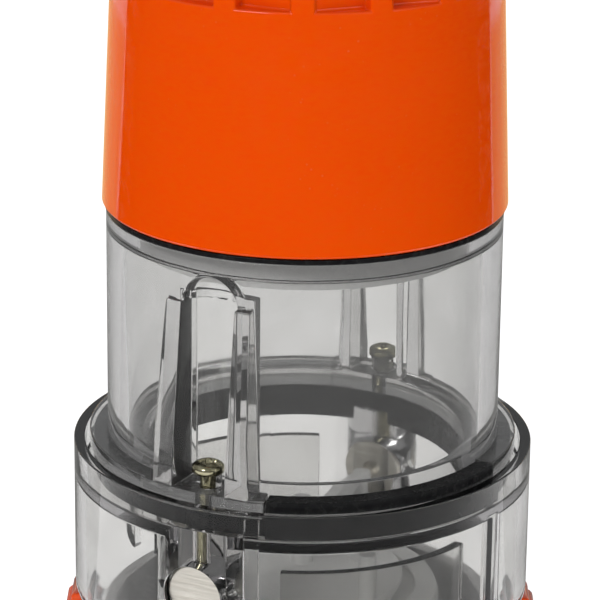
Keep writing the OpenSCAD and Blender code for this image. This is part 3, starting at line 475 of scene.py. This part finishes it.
# %% [markdown]
# ### Clear plastic
# The chamber and the intake housing are moulded in a clear, slightly smoky plastic. Glass
# shading with a plastic's bend of light gives the dark and bright edges. A moulding is not
# optically flat, so long soft waves bend what is seen through it, and a haze of fine
# scratches and dust takes the edge off its gloss. Light from a lamp would stop at the
# glass shading, so it meets a see-through one instead, and lights the pieces inside. The
# housing is less cloudy than the chamber and less of a mirror, so it has its own finish.

# %% Clear plastic
smoke_colour = (0.4, 0.39, 0.4, 1)
lamp_colour = (0.9, 0.9, 0.9, 1)


def clear_plastic(name, clearness, smoke, mirror):
    """Clear plastic: clearness below 1 clouds it, smoke is what a metre of it takes from the
    light, and mirror says how much its face gives back of what stands before it."""
    paint, tree, shader, place, bump = start_finish(name, 0.35, 0.6 * MM)
    shader.inputs["Transmission Weight"].default_value = clearness
    shader.inputs["Specular Tint"].default_value = (mirror, mirror, mirror, 1)
    shader.inputs["IOR"].default_value = 1.5
    haze = noise_mask(tree, place, 60.0, 0.42, 0.75, 6.0)
    base = blend_colours(tree, haze, (0.868, 0.867, 0.855), (0.808, 0.807, 0.79))
    dust = add_group(tree, dust_group, place, Amount=0.25)
    dusty = blend_colours(tree, dust.outputs["Specks"], base, (0.6, 0.6, 0.58))
    link(tree, dusty, shader.inputs["Base Color"])
    rough = ramp(tree, haze, 0.0, 1.0, 0.015, 0.09)
    link(tree, rough, shader.inputs["Roughness"])
    waves = noise_mask(tree, place, 26.0, 0.0, 1.0, 2.0, (1.0, 1.0, 0.45))
    link(tree, waves, bump.inputs["Height"])
    inside = add_node(tree, "ShaderNodeVolumeAbsorption", Color=smoke_colour,
                      Density=smoke / (1 - smoke_colour[0]))
    link(tree, inside.outputs["Volume"], tree.nodes["Material Output"].inputs["Volume"])
    lamp_ray = tree.nodes.new("ShaderNodeLightPath").outputs["Is Shadow Ray"]
    lit_through = add_node(tree, "ShaderNodeBsdfTransparent", Color=lamp_colour)
    mix_shaders(tree, lamp_ray, shader.outputs[0], lit_through.outputs[0])
    return paint


finishes["clear_plastic"] = clear_plastic("clear_plastic", 0.955, 35.0, 0.4)
housing_finish = clear_plastic("housing_plastic", 0.999, 42.0, 0.22)
print("clear finishes:", finishes["clear_plastic"].name, "and", housing_finish.name)

# %% [markdown]
# ### Rubber and moulded plastics
# The gasket, the seals and the handle's grip are dense black rubber, and the feet a duller one
# that holds dust in its pores. The impeller and the fittings are moulded in a dark plastic
# with a spark-eroded grain, the strainer in a light grey one, and the foot valve in a satin
# white one. One recipe makes them all from the grain and dust groups, and they differ in their
# numbers. The strainer's ring is a touch duller and cleaner than the strainer, so it has
# numbers of its own.

# %% Rubber and moulded plastics
dust_colour = (0.32, 0.31, 0.29)


def moulded(name, dark, light, rough, size, depth, dusting, gloss=0.5):
    """Grain of a size and depth between two colours and two roughnesses, with dust on it."""
    paint, tree, shader, place, bump = start_finish(name, 0.3, 0.12 * MM)
    grain = add_group(tree, grain_group, place, Size=size, Depth=depth)
    base = blend_colours(tree, grain.outputs["Mask"], dark, light)
    dust = add_group(tree, dust_group, place, Amount=dusting)
    dusty = blend_colours(tree, dust.outputs["Specks"], base, dust_colour)
    link(tree, dusty, shader.inputs["Base Color"])
    dull = ramp(tree, grain.outputs["Mask"], 0.0, 1.0, *rough)
    link(tree, dull, shader.inputs["Roughness"])
    height = maths(tree, "ADD", grain.outputs["Height"], dust.outputs["Specks"])
    link(tree, height, bump.inputs["Height"])
    shader.inputs["Specular IOR Level"].default_value = gloss
    return paint


finishes["black_rubber"] = moulded(
    "black_rubber", (0.006, 0.006, 0.007), (0.014, 0.014, 0.014),
    rough=(0.2, 0.3), size=500.0, depth=0.1, dusting=0.1, gloss=0.12)
finishes["foot_rubber"] = moulded(
    "foot_rubber", (0.03, 0.03, 0.031), (0.05, 0.05, 0.05),
    rough=(0.6, 0.75), size=1200.0, depth=1.0, dusting=0.8, gloss=0.35)
finishes["dark_plastic"] = moulded(
    "dark_plastic", (0.03, 0.031, 0.034), (0.055, 0.056, 0.06),
    rough=(0.38, 0.52), size=1100.0, depth=1.0, dusting=0.5)
finishes["grey_plastic"] = moulded(
    "grey_plastic", (0.75, 0.75, 0.75), (0.85, 0.85, 0.84),
    rough=(0.36, 0.5), size=1000.0, depth=0.8, dusting=0.4)
finishes["white_plastic"] = moulded(
    "white_plastic", (0.76, 0.76, 0.75), (0.84, 0.84, 0.83),
    rough=(0.34, 0.44), size=900.0, depth=0.5, dusting=0.3)
ring_finish = moulded(
    "ring_plastic", (0.75, 0.75, 0.75), (0.85, 0.85, 0.84),
    rough=(0.4, 0.5), size=1000.0, depth=0.8, dusting=0.3)
print("finishes so far:", list(finishes))

# %% [markdown]
# ### Metals
# Turned nuts show the fine lines of the lathe or the belt, plated screws a warm yellowish
# nickel with handling marks, and the steel of pins, rods and bearings a soft brushed grain.
# Each is noise, drawn out along the way that the tool moved where a tool left its lines, with
# a few dull stains over it.

# %% Screws, nuts and pins
def brushed(name, dark, light, rough, stretch, size, depth=0.03 * MM):
    """Metal with fine lines: noise of a size, drawn out along the axes whose stretch is low."""
    paint, tree, shader, place, bump = start_finish(name, 0.5, depth)
    lines = noise_mask(tree, place, size, 0.3, 0.7, 6.0, stretch)
    stains = noise_mask(tree, place, 160.0, 0.4, 0.7)
    base = blend_colours(tree, lines, dark, light)
    dulled = blend_colours(tree, ramp(tree, stains, 0.0, 1.0, 0.0, 0.35), base, dark)
    link(tree, dulled, shader.inputs["Base Color"])
    shader.inputs["Metallic"].default_value = 1.0
    link(tree, ramp(tree, lines, 0.0, 1.0, *rough), shader.inputs["Roughness"])
    link(tree, lines, bump.inputs["Height"])
    return paint


finishes["nickel"] = brushed(
    "nickel", (0.29, 0.27, 0.16), (0.57, 0.54, 0.39),
    rough=(0.12, 0.24), stretch=(1.0, 1.0, 1.0), size=700.0)
finishes["nut_steel"] = brushed(
    "nut_steel", (0.55, 0.52, 0.46), (0.86, 0.83, 0.76),
    rough=(0.3, 0.5), stretch=(0.06, 0.06, 1.0), size=1400.0, depth=0.06 * MM)
finishes["steel"] = brushed(
    "steel", (0.42, 0.42, 0.42), (0.64, 0.64, 0.64),
    rough=(0.24, 0.4), stretch=(1.0, 1.0, 0.08), size=1000.0)
print("finishes so far:", list(finishes))

# %% [markdown]
# The motor's iron core is a stack of thin sheets, and its windings are many turns of enamelled
# wire. Both repeat so often that modelling them would cost far more than it shows. A wave
# texture does it: bands up the core for the sheets, and slightly tangled rings for the wire,
# whose enamel is a clear coat.

# %% Motor iron and copper
def wave_finish(name, bump, wave, dark, light, rough, metallic, coat):
    """A metal of even ridges: wave is a Wave texture's kind, direction, scale and distortion."""
    paint, tree, shader, place, ridge_bump = start_finish(name, *bump)
    kind, direction, scale, distortion = wave
    ridges = add_node(tree, "ShaderNodeTexWave", Scale=scale, Distortion=distortion)
    ridges.wave_type = kind
    ridges.bands_direction = direction
    ridges.rings_direction = direction
    link(tree, place, ridges.inputs["Vector"])
    colour = blend_colours(tree, ridges.outputs["Fac"], dark, light)
    link(tree, colour, shader.inputs["Base Color"])
    dull = ramp(tree, ridges.outputs["Fac"], 0.0, 1.0, *rough)
    link(tree, dull, shader.inputs["Roughness"])
    link(tree, ridges.outputs["Fac"], ridge_bump.inputs["Height"])
    shader.inputs["Metallic"].default_value = metallic
    shader.inputs["Coat Weight"].default_value = coat
    return paint


finishes["core_iron"] = wave_finish(
    "core_iron", bump=(0.6, 0.08 * MM), wave=("BANDS", "Z", 640.0, 0.3),
    dark=(0.10, 0.105, 0.115), light=(0.3, 0.31, 0.33), rough=(0.55, 0.35),
    metallic=0.85, coat=0.0)
finishes["copper"] = wave_finish(
    "copper", bump=(0.8, 0.2 * MM), wave=("RINGS", "Z", 330.0, 3.0),
    dark=(0.32, 0.09, 0.035), light=(0.78, 0.33, 0.15), rough=(0.5, 0.24),
    metallic=0.9, coat=0.4)
print("slots still without a finish:", sorted(slots - set(finishes)))

# %% [markdown]
# ### Painting the CAD pieces
# The record names a slot for each node, and the slot's finish takes the place of the plain
# colour that the CAD piece came with. Pieces inside the cap are painted too, so that whoever
# takes the pump apart finds them finished.

# %% One finish for each slot
for part in frame["record"]["subparts"]:
    shown = nodes[part["node"]]
    shown.data.materials.clear()
    shown.data.materials.append(finishes[part["material_slot"]])

# %% [markdown]
# ## Soft edges
# A CAD solid has edges as sharp as a razor, and a moulding never has: its tool is cut with a
# round cutter and polished. A Bevel modifier on the CAD mesh would stumble over its loose
# triangles, so the pieces whose edges show are made again from their solids: the triangles
# are merged, the flat faces joined, and only the edges that turn sharply are rounded. Weighted
# normals keep the big faces flat while the small round ones take the turn. A new piece stands
# for the node it was made from, rides on the same body and keeps its slot.

# %% A piece that replaces a CAD node
slot_of = {part["node"]: part["material_slot"] for part in frame["record"]["subparts"]}
body_of = {name: body for body, names in frame["record"]["behaviour"]["bodies"].items()
           for name in names}


def new_piece(name, bm, replaced, paint=None):
    """Link a finished bmesh as a piece that stands for the replaced CAD node."""
    mesh = bpy.data.meshes.new(name)
    for face in bm.faces:
        face.smooth = True
    bm.to_mesh(mesh)
    bm.free()
    piece = bpy.data.objects.new(name, mesh)
    bpy.context.scene.collection.objects.link(piece)
    piece.modifiers.new("weighted", "WEIGHTED_NORMAL")
    slot = slot_of[replaced]
    mesh.materials.append(paint or finishes[slot])
    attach(piece, body_of[replaced])
    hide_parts(replaced)
    return piece


print("nodes with a body:", len(body_of), "and with a slot:", len(slot_of))

# %% [markdown]
# A bevel can throw a point far off where very thin faces meet at a corner. It shows as a
# spike, or hides inside the piece. So each rounded copy is held against its CAD faces, and
# where a point lies too far off, the edges at that corner are left sharp and the piece is
# rounded again. Lengths are in millimetres here, turns in degrees, and keep_clear and
# throw_share count in widths of the rounded edge.

# %% Rounding a copy
merge_within = 0.1
flat_within = 0.6
sharp_turn = 30
edge_segments = 2
keep_clear = 2.5
least_throw = 0.15
throw_share = 0.75


def merged_copy(name):
    """A CAD node's loose triangles as one closed shell with whole flat faces."""
    bm = bmesh.new()
    bm.from_mesh(nodes[name].data)
    bmesh.ops.remove_doubles(bm, verts=bm.verts, dist=merge_within * MM)
    bmesh.ops.dissolve_limit(bm, angle_limit=math.radians(flat_within), verts=bm.verts,
                             edges=bm.edges)
    return bm


def near_spoilt(edge, width, spoilt):
    """Whether the edge ends close to a corner that an earlier try spoilt."""
    reach = keep_clear * width * MM
    return any((v.co - place).length < reach for v in edge.verts for place in spoilt)


def rounded_copy(name, width, spoilt):
    """Round each sharp edge, but none that ends at a spoilt corner."""
    bm = merged_copy(name)
    turning = [edge for edge in bm.edges if edge.calc_face_angle(0.0) > math.radians(sharp_turn)
               and not near_spoilt(edge, width, spoilt)]
    bmesh.ops.bevel(bm, geom=turning, offset=width * MM, offset_type="OFFSET",
                    segments=edge_segments, profile=0.5, affect="EDGES", clamp_overlap=False,
                    material=-1)
    return bm


def thrown_points(bm, faces, width):
    """The points that a bevel threw off the CAD piece's faces."""
    too_far = max(least_throw, width * throw_share) * MM
    return [v for v in bm.verts if faces.find_nearest(v.co)[3] > too_far]


print("edges that turn by more than", sharp_turn, "degrees are rounded")

# %% [markdown]
# The gasket and the cap's seal press on clear plastic. Rubber never wets it, so a film of air
# stays between them, and without it the plastic would show no face there. Both are made a
# tenth of a millimetre thinner, about their own middle.

# %% Softening the pieces
edge_widths = {
    "clear_chamber": 0.35, "intake_housing": 0.35, "motor_cap": 0.6, "flange_gasket": 0.3,
    "strainer_base": 0.4, "strainer_ring": 0.4, "foot_cross": 0.4, "left_latch": 0.4,
    "right_latch": 0.4, "union_nut": 0.5, "gland_nut": 0.3, "gland_body": 0.3, "hose_tail": 0.3,
    "discharge_spout": 0.25, "handle_grip": 0.6, "barrel_nuts": 0.25,
    "cap_seal": 0.2, "valve_poppet": 0.3, "valve_seat": 0.3, "valve_guide": 0.3,
}
own_finish = {"intake_housing": housing_finish, "strainer_ring": ring_finish}
pressed_on_clear = ("flange_gasket", "cap_seal")
air_film = 0.1
most_attempts = 8


def leave_film(name, bm):
    """Make a piece thinner by the film of air, about the middle of its height."""
    low, high = (corner[2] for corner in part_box(name))
    thinner = Matrix.Diagonal((1, 1, 1 - air_film * MM / (high - low)))
    bmesh.ops.transform(bm, verts=bm.verts, matrix=thinner.to_4x4(),
                        space=Matrix.Translation((0, 0, -(low + high) / 2)))


def soften(name, width):
    """Round the edges, again and again, until no corner spoils the shape."""
    plain = merged_copy(name)
    faces = BVHTree.FromBMesh(plain)
    spoilt = []
    for attempt in range(most_attempts):
        bm = rounded_copy(name, width, spoilt)
        thrown = thrown_points(bm, faces, width)
        if not thrown:
            plain.free()
            break
        for v in thrown:
            ends = [edge.other_vert(v).co.copy() for edge in v.link_edges]
            spoilt += [end for end in ends if faces.find_nearest(end)[3] < width * MM]
        bm.free()
    else:
        bm = plain
    print(name, "rounded by", width, "mm, attempt", attempt + 1, "with", len(spoilt),
          "points left out,", len(bm.faces), "faces")
    if name in pressed_on_clear:
        leave_film(name, bm)
    new_piece(name + "_soft", bm, name, own_finish.get(name))


for name, width in edge_widths.items():
    soften(name, width)

# %% [markdown]
# ## Flange screws
# Two cross-headed pan screws hold the chamber down. They are turned: a half outline of the
# head, shank and thread crests is spun round the screw's axis. The cross is pressed into the
# head on the real screw, and here the points under it are pushed down, deepest in the middle.

# %% Pressed cross
cross_half = 0.55
cross_reach = 2.3
cross_depth = 1.5
cross_wall = 0.25
cross_slope = 0.9


def share(length, whole):
    """length as a share of the whole, kept between 0 and 1."""
    return max(0.0, min(1.0, length / whole))


def pressed_cross(x, y):
    """How far the cross is pressed in at a point, in millimetres."""
    arm = min(abs(x), abs(y))
    along = max(abs(x), abs(y))
    inside = share(cross_half + cross_wall - arm, cross_wall)
    return cross_depth * inside * share(cross_reach - along, cross_slope)


print("cross:", pressed_cross(0, 0), "mm deep in the middle,", round(pressed_cross(0, 2), 2),
      "near an end")

# %% [markdown]
# The outline runs from the top of the dome down to the tip, all in millimetres until both
# screws are made. The heads are as wide as the CAD screws', and the CAD box gives the places,
# so the turned screws stand just where the CAD ones do, with their domes a touch lower.

# %% Turned screws
head_radius = 4.0
head_height = 3.1
dome_height = 1.7
head_chamfer = 0.3
head_drop = 0.2
pressed_within = 1.9
shank_radius = 1.95
plain_shank = 12
pitch = 0.7
thread_depth = 0.35
tip_taper = 0.6
tip_length = 1
turn_steps = 72
seam = 0.001


def screw_outline(top, bottom):
    """Radius and height of each point of the half outline, from the dome's top to the tip."""
    quarter = [math.radians(angle) for angle in range(0, 91, 3)]
    outline = [(head_radius * math.sin(a), top - dome_height + dome_height * math.cos(a))
               for a in quarter]
    seat = top - head_height
    level = seat - plain_shank
    outline += [(head_radius, seat + head_chamfer), (head_radius - head_chamfer, seat)]
    outline += [(shank_radius, seat), (shank_radius, level)]
    while level > bottom + tip_length:
        outline += [(shank_radius - thread_depth, level - pitch / 2),
                    (shank_radius, level - pitch)]
        level -= pitch
    return outline + [(shank_radius - tip_taper, bottom), (0, bottom)]


def turn_screw(bm, x, y, top, bottom):
    """Spin one screw, press its cross, and stand it at its place; a tag marks finished points."""
    points = [bm.verts.new((r, 0, z)) for r, z in screw_outline(top, bottom)]
    edges = [bm.edges.new(pair) for pair in zip(points, points[1:])]
    bmesh.ops.spin(bm, geom=points + edges, cent=(0, 0, 0), axis=(0, 0, 1), dvec=(0, 0, 0),
                   angle=math.tau, steps=turn_steps, use_merge=True)
    bmesh.ops.remove_doubles(bm, verts=[v for v in bm.verts if not v.tag], dist=seam)
    turned = [v for v in bm.verts if not v.tag]
    for v in turned:
        if v.co.z > top - pressed_within:
            v.co.z -= pressed_cross(v.co.x, v.co.y)
        v.tag = True
    bmesh.ops.transform(bm, verts=turned, matrix=Matrix.Translation((x, y, 0)))


low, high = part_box("flange_screws")
screw_x = (high[0] - low[0]) / 2 / MM - head_radius
screw_y = (high[1] - low[1]) / 2 / MM - head_radius
screw_bm = bmesh.new()
for side in (-1, 1):
    turn_screw(screw_bm, side * screw_x, side * screw_y, high[2] / MM - head_drop, low[2] / MM)
bmesh.ops.scale(screw_bm, verts=screw_bm.verts, vec=(MM, MM, MM))
bmesh.ops.recalc_face_normals(screw_bm, faces=screw_bm.faces)
screws = new_piece("turned_flange_screws", screw_bm, "flange_screws")
print(screws.name, len(screws.data.polygons), "faces")
